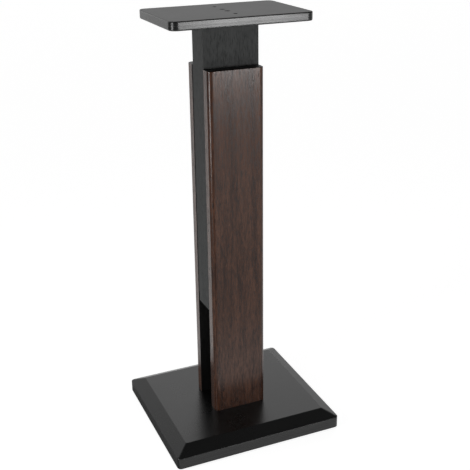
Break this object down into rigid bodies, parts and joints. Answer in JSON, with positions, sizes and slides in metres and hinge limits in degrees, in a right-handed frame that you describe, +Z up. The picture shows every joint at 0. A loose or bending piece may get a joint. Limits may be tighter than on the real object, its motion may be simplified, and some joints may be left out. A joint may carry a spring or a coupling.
{
  "type": "speaker stand",
  "caption": "Speaker stand with a bevelled base, walnut-veneered uprights either side of a sliding black box column, a flat top plate and clamp knobs behind.",
  "frame": {"origin": "on the floor, under the middle of the base board", "axes": "+Z up, +X to the right seen from the front, front towards -Y"},
  "size_m": [0.388, 0.348, 0.935],
  "materials": {
    "black_board": "satin black lacquer on fine-grained board, faint brushed grain",
    "black_ash": "satin black ash veneer with fine vertical grain",
    "walnut_veneer": "satin dark walnut veneer with long vertical figure, black at the top end",
    "inner_board": "plain unfinished board inside the column",
    "guide_strip": "smooth black slide strip",
    "rubber_black": "matte black rubber",
    "black_steel": "black oxide on steel screws",
    "zinc_steel": "bright zinc-plated steel",
    "brass_insert": "plain turned brass",
    "beech_dowel": "plain beech",
    "knob_plastic": "fine-textured black plastic"
  },
  "bodies": {
    "stand": {"base_board": "black_board", "front_panel": "walnut_veneer", "rear_panel": "walnut_veneer", "panel_bolts": "black_steel", "panel_bolt_washers": "zinc_steel", "panel_inserts": "brass_insert", "panel_dowels": "beech_dowel", "foot_front_left": "rubber_black", "foot_rear_left": "rubber_black", "foot_front_right": "rubber_black", "foot_rear_right": "rubber_black", "foot_screws": "zinc_steel", "rear_guide_left": "guide_strip", "rear_guide_right": "guide_strip", "clamp_bar": "zinc_steel", "clamp_nuts": "zinc_steel", "clamp_bushes": "brass_insert"},
    "column": {"column_front_board": "black_ash", "column_rear_board": "black_ash", "column_left_board": "black_ash", "column_right_board": "black_ash", "column_head_block": "inner_board", "top_plate": "black_board", "plate_screws": "black_steel", "head_inserts": "brass_insert"},
    "upper_washer": {"upper_clamp_washer": "zinc_steel"},
    "upper_knob": {"upper_clamp_knob": "knob_plastic", "upper_clamp_bolt": "zinc_steel"},
    "lower_washer": {"lower_clamp_washer": "zinc_steel"},
    "lower_knob": {"lower_clamp_knob": "knob_plastic", "lower_clamp_bolt": "zinc_steel"}
  },
  "joints": [
    {"name": "column_height", "type": "slide", "parent": "stand", "child": "column", "axis": [0, 0, 1], "range_m": [-0.075, 0.275]},
    {"name": "upper_clamp_travel", "type": "slide", "parent": "stand", "child": "upper_washer", "axis": [0, 1, 0], "range_m": [0, 0.00376]},
    {"name": "upper_clamp_turn", "type": "hinge", "parent": "upper_washer", "child": "upper_knob", "pos_m": [0, 0.08, 0.734], "axis": [0, 1, 0], "range_deg": [0, 1080]},
    {"name": "lower_clamp_travel", "type": "slide", "parent": "stand", "child": "lower_washer", "axis": [0, 1, 0], "range_m": [0, 0.00376]},
    {"name": "lower_clamp_turn", "type": "hinge", "parent": "lower_washer", "child": "lower_knob", "pos_m": [0, 0.08, 0.604], "axis": [0, 1, 0], "range_deg": [0, 1080]}
  ],
  "couplings": [
    {"joint": "upper_clamp_travel", "follows": "upper_clamp_turn", "m_per_rad": 0.00019894},
    {"joint": "lower_clamp_travel", "follows": "lower_clamp_turn", "m_per_rad": 0.00019894}
  ]
}
